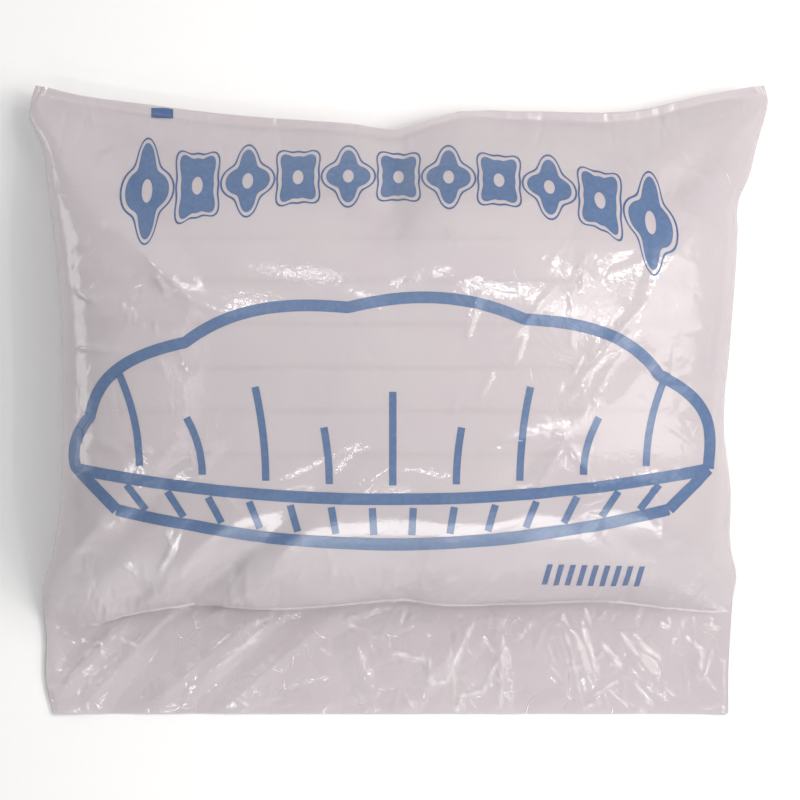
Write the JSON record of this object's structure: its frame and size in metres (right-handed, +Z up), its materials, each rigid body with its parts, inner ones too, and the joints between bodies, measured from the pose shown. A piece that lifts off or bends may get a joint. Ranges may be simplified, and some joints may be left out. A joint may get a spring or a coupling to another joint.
{
  "type": "polythene bag filled with folded bouffant caps",
  "caption": "Stuffed pillow-shaped polythene bag lying on its back, sealed at one end, with a flat empty skirt at its mouth, full of pleated nonwoven bouffant caps folded to strips.",
  "frame": {"origin": "centre of the bag's box in plan, on the surface that the bag lies on", "axes": "+X across the bag, to the right of the print; +Y along the bag to its sealed end, the top of the print; +Z up, out of the printed front"},
  "size_m": [0.3497, 0.298, 0.084],
  "materials": {
    "polythene_film": "milky translucent polythene film, glossy, with a plain blue print on its front",
    "cap_nonwoven": "white spunbonded polypropylene nonwoven, matt, finely pleated"
  },
  "bodies": {
    "root": {"film_bag": "polythene_film", "caps_column_01": "cap_nonwoven", "caps_column_02": "cap_nonwoven", "caps_column_03": "cap_nonwoven", "caps_column_04": "cap_nonwoven", "caps_column_05": "cap_nonwoven", "caps_column_06": "cap_nonwoven", "caps_column_07": "cap_nonwoven", "caps_column_08": "cap_nonwoven", "caps_column_09": "cap_nonwoven", "caps_column_10": "cap_nonwoven"}
  },
  "joints": []
}
